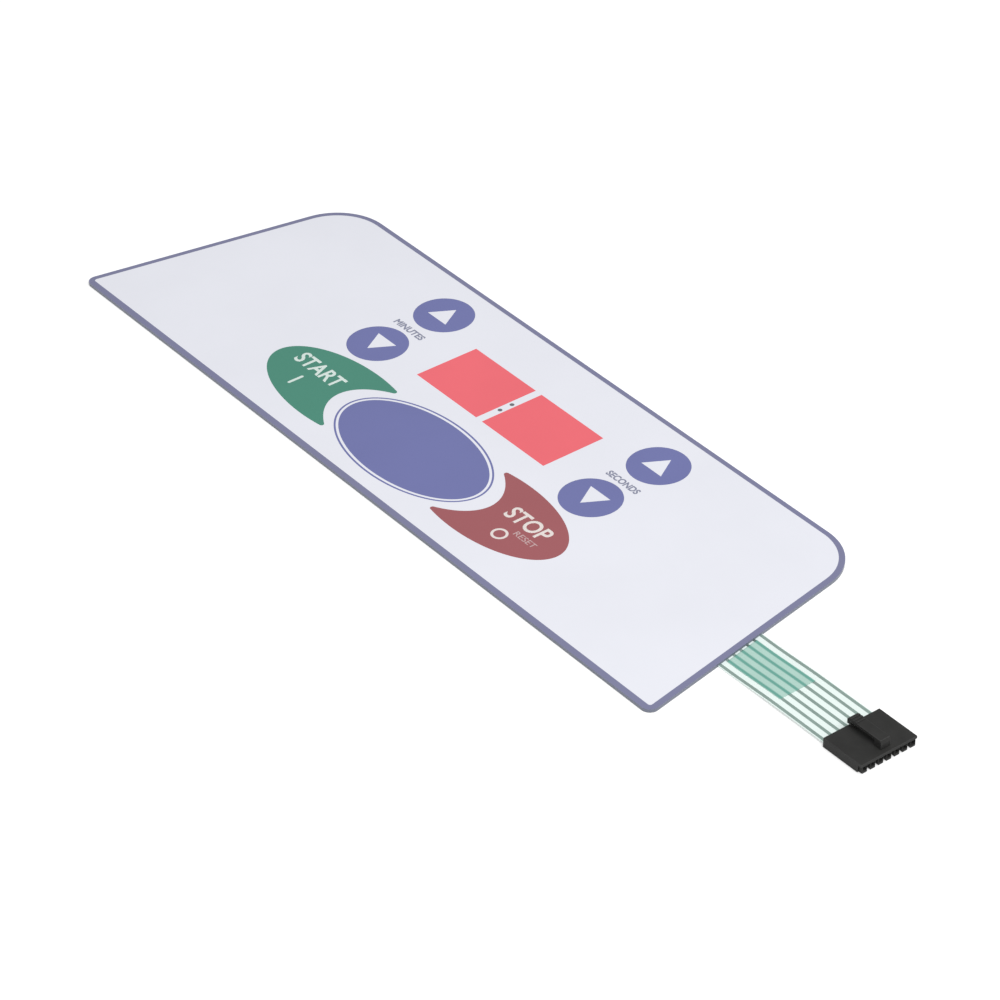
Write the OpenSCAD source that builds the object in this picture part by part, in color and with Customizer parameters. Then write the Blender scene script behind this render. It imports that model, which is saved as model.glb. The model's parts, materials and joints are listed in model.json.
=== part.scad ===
// Flat membrane keypad: printed overlay on a two-layer switch laminate,
// with a film tail that ends in a crimped single-row connector.
// Millimetres. The origin is the middle of the back face, +X runs along the
// panel towards the tail, +Y towards the edge with the large corner radii.

/* [Panel outline] */
// Length of the near edge, between its sharp corners
near_w = 242.2; // [225:0.2:270]
// Length of the far edge, between the corners before they are rounded
far_w = 214.2; // [200:0.2:224]
// Height of the panel from near edge to far edge
panel_h = 81.6; // [80:0.2:96]
// Radius of the two far corners
far_r = 16; // [6:0.5:20]
// Radius of the two near corners
near_r = 2.5; // [2.2:0.1:6]
// Width of the printed border band
border_w = 1.9; // [0.8:0.1:2.1]

/* [Layer thickness] */
// Release liner behind the rear adhesive
liner_t = 0.10; // [0.05:0.01:0.2]
// Rear mounting adhesive
rear_adhesive_t = 0.10; // [0.05:0.01:0.25]
// Polyester film of the lower circuit and of the tail
lower_film_t = 0.15; // [0.1:0.01:0.2]
// Spacer that holds the two circuits apart
spacer_t = 0.20; // [0.15:0.01:0.3]
// Polyester film of the upper circuit
upper_film_t = 0.12; // [0.08:0.01:0.2]
// Adhesive between the upper circuit and the overlay
overlay_adhesive_t = 0.10; // [0.05:0.01:0.15]
// Clear overlay film
overlay_t = 0.20; // [0.12:0.01:0.3]
// Printed ink on the overlay
ink_t = 0.03; // [0.02:0.01:0.06]
// Printed silver conductors
silver_t = 0.03; // [0.02:0.01:0.04]
// Green insulating coat on the tail
dielectric_t = 0.08; // [0.06:0.01:0.12]

/* [Display windows] */
// Width of one window
window_w = 25.6; // [18:0.2:28]
// Height of one window
window_h = 20; // [14:0.2:22]
// Bar between the two windows
window_gap = 2.45; // [2:0.05:4]
// Middle of the windows above the panel's middle
window_y = 12.65; // [12.6:0.05:15]
// How far each layer below the overlay is cut back round a window
window_relief = 0.4; // [0.1:0.05:0.8]
// Diameter of a colon dot
colon_d = 1.3; // [0.8:0.1:1.8]
// Distance between the two colon dots
colon_pitch = 4.0; // [3:0.1:6]
// How far the colon sits below the middle of the windows
colon_drop = 1.0; // [0:0.1:2]

/* [Arrow keys] */
// Diameter of a round arrow key
arrow_d = 16.9; // [12:0.1:18.2]
// Distance of the arrow keys from the middle of the panel
arrow_x = 45.2; // [43:0.2:56]
// Height of the upper arrow keys above the panel's middle
up_y = 25.9; // [24:0.1:28.5]
// Height of the lower arrow keys above the panel's middle
down_y = 3.4; // [3.4:0.1:5]
// Side of the triangle on an arrow key
triangle_side = 7.8; // [5:0.1:9]
// How far an upward triangle sits below the middle of its key
up_triangle_drop = 0.3; // [0:0.1:1]
// How far a downward triangle sits above the middle of its key
down_triangle_lift = 1.0; // [0:0.1:1.5]

/* [Oval] */
// Half length of the oval's outer ring
oval_rx = 27.4; // [22:0.1:30]
// Half height of the oval's outer ring
oval_ry = 15.7; // [13:0.1:16.4]
// Middle of the oval and of the action keys below the panel's middle
oval_drop = 18.9; // [17.8:0.1:20]
// Line width of the outer ring
ring_w = 0.55; // [0.3:0.05:0.9]
// Pale gap between the ring and the solid oval
ring_gap = 0.70; // [0.4:0.05:1.2]

/* [Action keys] */
// Middle of each action key's outer curve from the panel's middle
action_curve_x = 32.4; // [31:0.1:35]
// Half length of an action key's outer curve
action_rx = 27.0; // [22:0.2:32]
// Half height of an action key's outer curve
action_ry = 13.3; // [10:0.1:14]
// Gap from the oval's ring to an action key, along the panel
cove_gap_x = 4.9; // [3:0.1:7]
// Difference in half height between the ring and the action keys' hollow edge
cove_gap_y = 0.8; // [0.4:0.1:2]

/* [Switch contacts] */
// Diameter of the silver contact under an arrow key
arrow_pad_d = 9; // [6:0.5:10]
// Diameter of the silver contact under an action key
action_pad_d = 12; // [8:0.5:13]
// Gap from a contact to the edge of its hole in the spacer
pad_clearance = 1.5; // [1:0.1:2]
// Width of an air channel between the holes in the spacer
vent_w = 1.5; // [1:0.1:2]
// Air channels from the middle line of the arrow keys
vent_offset = 3; // [2.5:0.1:3.5]
// Middle of the cross channel below the panel's middle
vent_drop = 31; // [29.5:0.1:32]
// Distance of the joint between the two circuits from the panel's middle
joint_x = 101; // [99:0.2:103]
// Height of that joint above the panel's middle
joint_y = 12; // [8:0.5:16]
// Diameter of that joint's pads
joint_pad_d = 4; // [3:0.1:5]
// Diameter of the conductive dot between the pads
joint_dot_d = 3; // [2:0.1:3]

/* [Conductors] */
// Width of a silver conductor
trace_w = 0.9; // [0.5:0.05:0.9]
// First lane of the conductors that turn towards the tail
lane_x = 84; // [80:0.5:86]
// Distance from lane to lane
lane_pitch = 3; // [2:0.1:3.4]
// Highest run above the panel's middle
top_run = 36.4; // [35.5:0.1:37.5]
// Lowest run below the panel's middle
low_run = 36.4; // [34:0.1:37.5]
// Middle run below the panel's middle
middle_run = 6.5; // [5:0.1:7.5]
// Cross link of the upper circuit below the panel's middle
link_run = 1.2; // [0.8:0.1:2]

/* [Tail] */
// Middle of the tail below the panel's middle
tail_drop = 7.5; // [6.5:0.1:9]
// Pitch of the tail's conductors and of the connector
pitch = 2.54; // [2:0.01:2.6]
// Film left outside the outer conductors
tail_margin = 0.3; // [0.2:0.01:0.6]
// How far the tail's film is counted in from the panel's near right corner
tail_root = 25; // [18:0.5:26]
// Distance from the panel's edge to where the tail starts to rise
rise_gap = 0.8; // [0.5:0.1:3]
// Length over which the tail rises to its level in the connector
rise_length = 20; // [10:0.5:22]
// End of the green coat from the panel's middle
coat_end_x = 136; // [130:0.2:138]
// Coat beyond the middle of the outermost coated conductors
coat_margin = 0.55; // [0.55:0.05:1.1]

/* [Connector] */
// Rear face of the housing from the panel's middle
housing_x = 154.7; // [154:0.1:158]
// Length of the housing
housing_l = 13; // [12.4:0.1:16]
// Height of the housing
housing_h = 2.8; // [2.6:0.1:3.6]
// Wall outside the tail's film in the housing
side_wall = 0.4; // [0.35:0.05:1.2]
// Wall left between two contact channels
channel_wall = 0.74; // [0.5:0.02:0.8]
// Height of a contact channel
channel_h = 1.9; // [1.6:0.05:2.05]
// Clearance round the film and round the contacts
fit_gap = 0.1; // [0.05:0.01:0.12]
// Further clearance between a contact and its channel
contact_slack = 0.05; // [0.02:0.01:0.1]
// Height of the film's underside in the housing
film_seat = 0.7; // [0.65:0.05:0.8]
// Length of film held in the housing
film_grip = 4.6; // [4.4:0.1:4.8]
// Side of the square mouth for a mating pin
mouth = 0.95; // [0.8:0.05:1.1]
// Side of the lead-in round each mouth
lead_in = 1.25; // [1.15:0.05:1.4]
// Depth of the lead-in
lead_in_depth = 0.35; // [0.2:0.05:0.5]
// Depth of the notches between the noses at the front
nose_l = 1.2; // [0.6:0.1:1.4]
// Width of one nose
nose_w = 1.5; // [1.42:0.02:1.7]
// Rim left above the notches
nose_rim = 0.8; // [0.4:0.05:0.9]
// Front wall behind the noses
front_wall = 0.6; // [0.4:0.05:1]
// Length of a retention window under each contact
lance_l = 2.0; // [1:0.1:2.6]
// Width of a retention window
lance_w = 1.2; // [0.8:0.05:1.4]

/* [Latch] */
// Width of the latch arm
latch_w = 3; // [2.6:0.1:6]
// Top of the latch arm above the housing
latch_rise = 2.5; // [2:0.1:3]
// Thickness of the latch arm
latch_t = 0.8; // [0.6:0.05:1]
// Length of the arm's root
latch_root = 2.4; // [2:0.1:4]
// Distance from the front of the housing to the latch
latch_setback = 1.3; // [1.2:0.1:2]
// Length of the stop below the arm's free end
stop_l = 1.4; // [0.8:0.1:2]
// Gap left below that stop, which limits how far the arm can be pressed
stop_gap = 0.8; // [0.5:0.1:0.9]
// Height of a grip rib on the arm's free end
rib_h = 0.2; // [0.1:0.05:0.3]
// Spacing of the grip ribs
rib_pitch = 0.9; // [0.7:0.05:1.2]
// Number of grip ribs
rib_count = 3; // [2:1:4]

/* [Crimp contacts] */
// Thickness of the contact strip
strip_t = 0.2; // [0.15:0.01:0.25]
// Length of the socket end
socket_l = 5.2; // [4.6:0.1:5.4]
// Length of one clinched tine
tine_l = 2.0; // [1.2:0.1:2.4]
// Distance from the film's end to the tines
tine_setback = 1.0; // [0.8:0.1:1.4]
// Gap between a tine and the conductor it clinches
tine_gap = 0.05; // [0.03:0.01:0.08]

/* [Hidden] */

// Colours
lilac_white = [0.90, 0.91, 0.94];
print_blue = [0.42, 0.43, 0.68];
print_green = [0.29, 0.56, 0.47];
print_red = [0.67, 0.31, 0.34];
window_red = [0.93, 0.44, 0.48];
film_clear = [0.88, 0.94, 0.93];
silver_ink = [0.66, 0.69, 0.68];
coat_green = [0.58, 0.79, 0.72];
tin = [0.78, 0.77, 0.73];
housing_black = [0.20, 0.20, 0.20];

// Heights of the layers, from the back face up
rear_adhesive_z = liner_t;
lower_film_z = rear_adhesive_z + rear_adhesive_t;
spacer_z = lower_film_z + lower_film_t;
upper_film_z = spacer_z + spacer_t;
overlay_adhesive_z = upper_film_z + upper_film_t;
overlay_z = overlay_adhesive_z + overlay_adhesive_t;
ink_z = overlay_z + overlay_t;

// Outline: the sides lean in towards the far edge
side_lean = atan((near_w - far_w)/2/panel_h);
side_reach = far_w/2*cos(side_lean) + panel_h/2*sin(side_lean);
corner_steps = 16;
oval_steps = 96;
round_steps = 64;

// X of the side edge at y, or of the middle of a circle of radius r that touches it
function side_x(y, r = 0) = (side_reach - r - y*sin(side_lean))/cos(side_lean);

// Places of the keys and contacts
oval_y = -oval_drop;
cove_rx = oval_rx + cove_gap_x;
cove_ry = oval_ry + cove_gap_y;
action_x = (cove_rx + action_curve_x + action_rx)/2;
left_up = [-arrow_x, up_y];
left_down = [-arrow_x, down_y];
right_up = [arrow_x, up_y];
right_down = [arrow_x, down_y];
start_at = [-action_x, oval_y];
stop_at = [action_x, oval_y];
joint_at = [joint_x, joint_y];
arrow_contacts = [left_up, left_down, right_up, right_down];
action_contacts = [start_at, stop_at];

// Tail: six key circuits and the common one
trace_count = 7;
tail_y = -tail_drop;
tail_w = (trace_count - 1)*pitch + trace_w + 2*tail_margin;
tail_root_x = near_w/2 - tail_root;
rise_x = side_x(tail_y - tail_w/2) + rise_gap;
rise_end_x = rise_x + rise_length;
flat_end_x = rise_x - trace_w/2;
film_end_x = housing_x + film_grip;
film_rise = film_seat - lower_film_z;
rise_steps = 12;

// Connector
housing_w = tail_w + 2*fit_gap + 2*side_wall;
channel_w = pitch - channel_wall;
channel_end_x = housing_x + housing_l - nose_l - front_wall;
contact_play = fit_gap + contact_slack;
contact_w = channel_w - 2*contact_play;
contact_h = channel_h - 2*contact_play;
contact_z = film_seat - strip_t;
channel_z = contact_z - contact_play;
pin_z = channel_z + channel_h/2;
socket_end_x = channel_end_x - fit_gap/2;
socket_x = socket_end_x - socket_l;
overcut = 1;

function trace_y(i) = tail_y + (i - (trace_count - 1)/2)*pitch;
function lane(k) = lane_x + k*lane_pitch;
function arc_points(c, r, from, to, steps) =
    [for (i = [0:steps]) let (a = from + (to - from)*i/steps) c + r*[cos(a), sin(a)]];
function ellipse_points(c, rx, ry) =
    [for (i = [0:oval_steps - 1]) let (a = 360*i/oval_steps) c + [rx*cos(a), ry*sin(a)]];
function flipped(points) = [for (i = [len(points) - 1:-1:0]) [-points[i][0], points[i][1]]];
function near_corner(inset) = let (y = -panel_h/2 + near_r)
    arc_points([side_x(y, near_r), y], near_r - inset, -90, side_lean, corner_steps);
function far_corner(inset) = let (y = panel_h/2 - far_r)
    arc_points([side_x(y, far_r), y], far_r - inset, side_lean, 90, corner_steps);
function right_half(inset) = concat(near_corner(inset), far_corner(inset));

// Height of the tail's underside: level, rising in straight steps, level again
function ease(i) = (1 - cos(180*i/rise_steps))/2;
function risen(s) = let (i = floor(s)) ease(i) + (s - i)*(ease(i + 1) - ease(i));
function tail_level(x) =
    x <= rise_x ? lower_film_z
    : x >= rise_end_x ? film_seat
    : lower_film_z + film_rise*risen(rise_steps*(x - rise_x)/rise_length);
function rise_stations(from, to) =
    [for (i = [0:rise_steps]) let (x = rise_x + rise_length*i/rise_steps) if (x > from && x < to) x];
function tail_stations(from, to) = concat([from], rise_stations(from, to), [to]);

// Flat shapes
module outline(inset = 0) {
    polygon(concat(right_half(inset), flipped(right_half(inset))));
}

module ellipse(c, rx, ry) {
    polygon(ellipse_points(c, rx, ry));
}

module disc(at, d) {
    translate(at) circle(d = d, $fn = round_steps);
}

module window(side, grow = 0) {
    translate([side*(window_gap + window_w)/2, window_y])
        square([window_w + 2*grow, window_h + 2*grow], center = true);
}

module window_cuts() {
    for (side = [-1, 1]) window(side, window_relief);
}

module triangle(at, up) {
    shift = up ? -up_triangle_drop : down_triangle_lift;
    translate([at[0], at[1] + shift]) rotate(up ? 90 : -90)
        circle(r = triangle_side/sqrt(3), $fn = 3);
}

module arrow_key(at, up) {
    difference() {
        disc(at, arrow_d);
        triangle(at, up);
    }
}

module action_key(side) {
    difference() {
        ellipse([side*action_curve_x, oval_y], action_rx, action_ry);
        ellipse([0, oval_y], cove_rx, cove_ry);
    }
}

module solid_oval() {
    inset = ring_w + ring_gap;
    ellipse([0, oval_y], oval_rx - inset, oval_ry - inset);
}

module oval_ring() {
    difference() {
        ellipse([0, oval_y], oval_rx, oval_ry);
        ellipse([0, oval_y], oval_rx - ring_w, oval_ry - ring_w);
    }
}

module colon_dots() {
    for (side = [-1, 1])
        disc([0, window_y - colon_drop + side*colon_pitch/2], colon_d);
}

// A run of conductor with square corners through the given points
module run(points, w) {
    for (i = [1:len(points) - 1]) {
        p = points[i - 1];
        q = points[i];
        translate([min(p[0], q[0]) - w/2, min(p[1], q[1]) - w/2])
            square([abs(p[0] - q[0]) + w, abs(p[1] - q[1]) + w]);
    }
}

module contact_discs(grow = 0) {
    for (at = arrow_contacts) disc(at, arrow_pad_d + 2*grow);
    for (at = action_contacts) disc(at, action_pad_d + 2*grow);
}

module to_tail(points, lane_index, trace) {
    last = points[len(points) - 1];
    run(concat(points, [
        [lane(lane_index), last[1]],
        [lane(lane_index), trace_y(trace)],
        [flat_end_x, trace_y(trace)]
    ]), trace_w);
}

module lower_pattern() {
    contact_discs();
    disc(joint_at, joint_pad_d);
    to_tail([start_at, [-action_x, -low_run]], 1, 0);
    to_tail([stop_at], 0, 1);
    to_tail([left_down, [-arrow_x, -middle_run]], 1, 2);
    to_tail([right_down], 2, 3);
    to_tail([right_up], 3, 4);
    to_tail([left_up, [-arrow_x, top_run]], 4, 5);
    run([joint_at, [joint_x, trace_y(6)], [flat_end_x, trace_y(6)]], trace_w);
}

module upper_pattern() {
    contact_discs();
    disc(joint_at, joint_pad_d);
    for (side = [-1, 1]) run([[side*arrow_x, up_y], [side*arrow_x, oval_y]], trace_w);
    run([[-arrow_x, -link_run], [arrow_x, -link_run]], trace_w);
    run([right_up, [joint_x, up_y], joint_at], trace_w);
}

module vent_pattern() {
    x = arrow_x - vent_offset;
    run([[-x, up_y], [-x, -vent_drop], [x, -vent_drop], [x, up_y]], vent_w);
}

// Solids
module plate(z, t) {
    translate([0, 0, z]) linear_extrude(t) children();
}

module lower_silver() {
    plate(spacer_z, silver_t) lower_pattern();
}

module upper_silver() {
    plate(upper_film_z - silver_t, silver_t) upper_pattern();
}

// A band that follows the tail: its underside lies above the film's underside
module tail_band(y, w, above, t, from, to = film_end_x) {
    x = tail_stations(from, to);
    low = [for (s = x) [s, tail_level(s) + above]];
    high = [for (i = [len(x) - 1:-1:0]) [x[i], tail_level(x[i]) + above + t]];
    translate([0, y + w/2, 0]) rotate([90, 0, 0])
        linear_extrude(w) polygon(concat(low, high));
}

module tine_places() {
    x = film_end_x - tine_setback - tine_l;
    for (i = [0:trace_count - 1], side = [-1, 1])
        translate([x, trace_y(i) + side*(trace_w/2 + tine_gap + strip_t/2), film_seat])
            children();
}

module release_liner() {
    color(lilac_white) plate(0, liner_t) outline();
}

module layer(z, t) {
    plate(z, t) difference() {
        outline();
        window_cuts();
    }
}

module rear_adhesive() {
    color(film_clear) layer(rear_adhesive_z, rear_adhesive_t);
}

module lower_circuit_film() {
    color(film_clear) difference() {
        union() {
            layer(lower_film_z, lower_film_t);
            tail_band(tail_y, tail_w, 0, lower_film_t, tail_root_x);
        }
        tine_places() translate([-tine_gap, -strip_t/2 - tine_gap/2, -overcut])
            cube([tine_l + 2*tine_gap, strip_t + tine_gap, 2*overcut]);
    }
}

module lower_conductors() {
    color(silver_ink) {
        lower_silver();
        for (i = [0:trace_count - 1])
            tail_band(trace_y(i), trace_w, lower_film_t, silver_t, rise_x - trace_w);
    }
}

module circuit_spacer() {
    color(lilac_white) difference() {
        plate(spacer_z, spacer_t) difference() {
            outline();
            window_cuts();
            contact_discs(pad_clearance);
            vent_pattern();
            disc(joint_at, joint_pad_d);
        }
        lower_silver();
        upper_silver();
    }
}

module common_joint() {
    color(silver_ink) plate(spacer_z + silver_t, spacer_t - 2*silver_t)
        disc(joint_at, joint_dot_d);
}

module upper_conductors() {
    color(silver_ink) upper_silver();
}

module upper_circuit_film() {
    color(film_clear) layer(upper_film_z, upper_film_t);
}

module overlay_adhesive() {
    color(film_clear) layer(overlay_adhesive_z, overlay_adhesive_t);
}

module overlay_film() {
    color(film_clear) plate(overlay_z, overlay_t) outline();
}

module ground_print() {
    color(lilac_white) plate(ink_z, ink_t) difference() {
        outline(border_w);
        for (side = [-1, 1]) {
            window(side);
            action_key(side);
        }
        for (x = [-arrow_x, arrow_x]) {
            arrow_key([x, up_y], true);
            arrow_key([x, down_y], false);
        }
        solid_oval();
        oval_ring();
        colon_dots();
    }
}

module border_print() {
    color(print_blue) plate(ink_z, ink_t) difference() {
        outline();
        outline(border_w);
    }
}

module left_window_print() {
    color(window_red) plate(ink_z, ink_t) window(-1);
}

module right_window_print() {
    color(window_red) plate(ink_z, ink_t) window(1);
}

module colon_print() {
    color("dimgray") plate(ink_z, ink_t) colon_dots();
}

module left_up_key_print() {
    color(print_blue) plate(ink_z, ink_t) arrow_key(left_up, true);
}

module left_down_key_print() {
    color(print_blue) plate(ink_z, ink_t) arrow_key(left_down, false);
}

module right_up_key_print() {
    color(print_blue) plate(ink_z, ink_t) arrow_key(right_up, true);
}

module right_down_key_print() {
    color(print_blue) plate(ink_z, ink_t) arrow_key(right_down, false);
}

module start_key_print() {
    color(print_green) plate(ink_z, ink_t) action_key(-1);
}

module stop_key_print() {
    color(print_red) plate(ink_z, ink_t) action_key(1);
}

module oval_print() {
    color(print_blue) plate(ink_z, ink_t) solid_oval();
}

module oval_ring_print() {
    color(print_blue) plate(ink_z, ink_t) oval_ring();
}

// The coat covers all but the outermost conductor on each side
module tail_dielectric() {
    coat_w = (trace_count - 3)*pitch + 2*coat_margin;
    color(coat_green) difference() {
        tail_band(tail_y, coat_w, lower_film_t, dielectric_t, tail_root_x, coat_end_x);
        translate([0, 0, -overcut]) linear_extrude(4*overcut) outline();
        for (i = [1:trace_count - 2])
            tail_band(trace_y(i), trace_w, 0, lower_film_t + silver_t, tail_root_x - overcut,
                      coat_end_x + overcut);
    }
}

// Side view of the latch: a root near the front, an arm over the housing and a stop below its end
module latch_profile() {
    root_end = housing_x + housing_l - latch_setback;
    stop_z = housing_h + stop_gap;
    arm_z = housing_h + latch_rise - latch_t;
    top_z = housing_h + latch_rise;
    polygon([
        [root_end - latch_root, housing_h - latch_t/2],
        [root_end, housing_h - latch_t/2],
        [root_end, arm_z],
        [root_end - latch_t/2, top_z],
        [housing_x + latch_t/2, top_z],
        [housing_x, arm_z + latch_t/2],
        [housing_x, stop_z],
        [housing_x + stop_l, stop_z],
        [housing_x + stop_l, arm_z],
        [root_end - latch_root, arm_z]
    ]);
}

module latch() {
    translate([0, tail_y + latch_w/2, 0]) rotate([90, 0, 0])
        linear_extrude(latch_w) latch_profile();
    for (i = [1:rib_count])
        translate([housing_x + i*rib_pitch, tail_y - latch_w/2, housing_h + latch_rise - rib_h])
            cube([rib_pitch/2, latch_w, 2*rib_h]);
}

module connector_housing() {
    front_x = housing_x + housing_l;
    slot_h = lower_film_t + silver_t + 2*fit_gap;
    color(housing_black) difference() {
        union() {
            translate([housing_x, tail_y - housing_w/2, 0])
                cube([housing_l, housing_w, housing_h]);
            latch();
        }
        // Slot for the film, through the rear face and the walls between channels
        translate([housing_x - overcut, tail_y - tail_w/2 - fit_gap, film_seat - fit_gap])
            cube([film_grip + fit_gap + overcut, tail_w + 2*fit_gap, slot_h]);
        for (i = [0:trace_count - 1]) translate([0, trace_y(i), 0]) {
            translate([housing_x - overcut, -channel_w/2, channel_z])
                cube([channel_end_x - housing_x + overcut, channel_w, channel_h]);
            translate([channel_end_x - overcut, -mouth/2, pin_z - mouth/2])
                cube([front_wall + nose_l + 2*overcut, mouth, mouth]);
            translate([front_x - lead_in_depth, -lead_in/2, pin_z - lead_in/2])
                cube([lead_in_depth + overcut, lead_in, lead_in]);
            translate([socket_x + socket_l/2 - lance_l/2, -lance_w/2, -overcut])
                cube([lance_l, lance_w, overcut + pin_z]);
        }
        // Notches between the noses, open at the front and below
        for (i = [0:trace_count]) {
            wide = i == 0 || i == trace_count ? housing_w : pitch - nose_w;
            edge = i == 0 ? trace_y(0) - nose_w/2 - wide : trace_y(i - 1) + nose_w/2;
            translate([front_x - nose_l, edge, -overcut])
                cube([nose_l + overcut, wide, housing_h - nose_rim + overcut]);
        }
    }
}

// One contact: a square socket, a strip under the film and two clinched tines
module crimp_contact() {
    film_top = film_seat + lower_film_t;
    strip_x = film_end_x - tine_setback - tine_l;
    reach = trace_w/2 + tine_gap;
    difference() {
        translate([socket_x, -contact_w/2, contact_z])
            cube([socket_l, contact_w, contact_h]);
        translate([socket_x + 2*strip_t, -contact_w/2 + strip_t, contact_z + strip_t])
            cube([socket_l, contact_w - 2*strip_t, contact_h - 2*strip_t]);
    }
    translate([strip_x, -reach - strip_t, contact_z])
        cube([socket_x - strip_x + strip_t, 2*(reach + strip_t), strip_t]);
    for (side = [-1, 1]) {
        outer = side > 0 ? reach : -reach - strip_t;
        inner = side > 0 ? 2*tine_gap : -reach - strip_t;
        translate([strip_x, outer, contact_z])
            cube([tine_l, strip_t, lower_film_t + silver_t + 2*strip_t]);
        translate([strip_x, inner, film_top + silver_t])
            cube([tine_l, reach + strip_t - 2*tine_gap, strip_t]);
    }
}

module crimp_contacts() {
    color(tin) for (i = [0:trace_count - 1])
        translate([0, trace_y(i), 0]) crimp_contact();
}

release_liner();
rear_adhesive();
lower_circuit_film();
lower_conductors();
circuit_spacer();
common_joint();
upper_conductors();
upper_circuit_film();
overlay_adhesive();
overlay_film();
ground_print();
border_print();
left_window_print();
right_window_print();
colon_print();
left_up_key_print();
left_down_key_print();
right_up_key_print();
right_down_key_print();
start_key_print();
stop_key_print();
oval_print();
oval_ring_print();
tail_dielectric();
connector_housing();
crimp_contacts();
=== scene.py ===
# Membrane keypad: finishes, printed words and the moulded connector, built round the CAD frame.
import json
import math

import bmesh
import bpy
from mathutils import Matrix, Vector


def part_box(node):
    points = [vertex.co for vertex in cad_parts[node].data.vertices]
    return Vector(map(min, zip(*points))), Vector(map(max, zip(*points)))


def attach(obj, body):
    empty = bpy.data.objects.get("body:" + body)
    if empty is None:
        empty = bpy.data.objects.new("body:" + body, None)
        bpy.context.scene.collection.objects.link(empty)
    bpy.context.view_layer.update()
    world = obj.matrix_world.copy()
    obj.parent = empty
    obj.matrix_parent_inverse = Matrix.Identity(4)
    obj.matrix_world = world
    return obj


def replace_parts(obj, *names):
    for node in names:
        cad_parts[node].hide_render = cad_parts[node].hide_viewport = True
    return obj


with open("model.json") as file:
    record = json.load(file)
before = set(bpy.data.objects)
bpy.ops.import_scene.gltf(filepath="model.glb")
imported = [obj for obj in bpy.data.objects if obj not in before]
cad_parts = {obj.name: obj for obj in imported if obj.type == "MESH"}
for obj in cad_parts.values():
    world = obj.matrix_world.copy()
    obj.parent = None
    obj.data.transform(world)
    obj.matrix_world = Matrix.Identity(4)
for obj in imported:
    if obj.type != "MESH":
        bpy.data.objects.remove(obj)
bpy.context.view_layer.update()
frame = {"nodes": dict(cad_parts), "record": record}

nodes = frame["nodes"]
scene = bpy.context.scene
mm = 0.001

# Heights and places that the CAD frame gives
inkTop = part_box("ground_print")[1].z
coatLow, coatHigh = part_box("tail_dielectric")
housingLow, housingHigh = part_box("connector_housing")

# Sizes that more than one piece uses: the leaning side's distance at y = 0 and its slope, the pitch of the
# conductors, and how far the start and stop keys lie from the middle
panelSide = {"middle": 114.1 * mm, "lean": 0.1716}
tailPitch = 2.54 * mm
actionReach = 45.85 * mm
noiseBand = (0.3, 0.7)  # the part of a noise's range that its values mostly fill
weld = {"close": 1e-6, "fine": 1e-7, "flat": math.radians(0.5)}


def middleOf(node):
    low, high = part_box(node)
    return (low + high) / 2


def meshFrom(solid, name):
    mesh = bpy.data.meshes.new(name)
    solid.to_mesh(mesh)
    solid.free()
    return mesh


def evaluatedMesh(thing):
    bpy.context.view_layer.update()
    return bpy.data.meshes.new_from_object(thing.evaluated_get(bpy.context.evaluated_depsgraph_get()))


# Node helpers
def addNode(tree, kind, place, **settings):
    node = tree.nodes.new(kind)
    node.location = place
    for name, value in settings.items():
        setattr(node, name, value)
    return node


def setInputs(node, **values):
    for name, value in values.items():
        node.inputs[name.replace("_", " ")].default_value = value
    return node


def addMath(tree, place, operation, first, second=0.0):
    node = addNode(tree, "ShaderNodeMath", place, operation=operation)
    for socket, value in zip(node.inputs, (first, second)):
        if isinstance(value, (int, float)):
            socket.default_value = value
        else:
            tree.links.new(value, socket)
    return node.outputs[0]


def addRange(tree, place, value, fromLow, fromHigh, toLow=0.0, toHigh=1.0, smooth=True):
    node = addNode(tree, "ShaderNodeMapRange", place)
    node.interpolation_type = "SMOOTHSTEP" if smooth else "LINEAR"
    tree.links.new(value, node.inputs["Value"])
    for name, number in (("From Min", fromLow), ("From Max", fromHigh),
                         ("To Min", toLow), ("To Max", toHigh)):
        if isinstance(number, (int, float)):
            node.inputs[name].default_value = number
        else:
            tree.links.new(number, node.inputs[name])
    return node.outputs["Result"]


def addNoise(tree, place, vector, scale, detail=2.0, roughness=0.5):
    node = addNode(tree, "ShaderNodeTexNoise", place)
    tree.links.new(vector, node.inputs["Vector"])
    node.inputs["Detail"].default_value = detail
    node.inputs["Roughness"].default_value = roughness
    if isinstance(scale, (int, float)):
        node.inputs["Scale"].default_value = scale
    else:
        tree.links.new(scale, node.inputs["Scale"])
    return node.outputs["Fac"]


def newGroup(name, inputs, outputs):
    group = bpy.data.node_groups.new(name, "ShaderNodeTree")
    for label, kind, value in inputs:
        socket = group.interface.new_socket(label, in_out="INPUT", socket_type="NodeSocket" + kind)
        if value is not None:
            socket.default_value = value
    for label in outputs:
        group.interface.new_socket(label, in_out="OUTPUT", socket_type="NodeSocketFloat")
    start = addNode(group, "NodeGroupInput", (-900, 0))
    end = addNode(group, "NodeGroupOutput", (700, 0))
    return group, start.outputs, end.inputs


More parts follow.
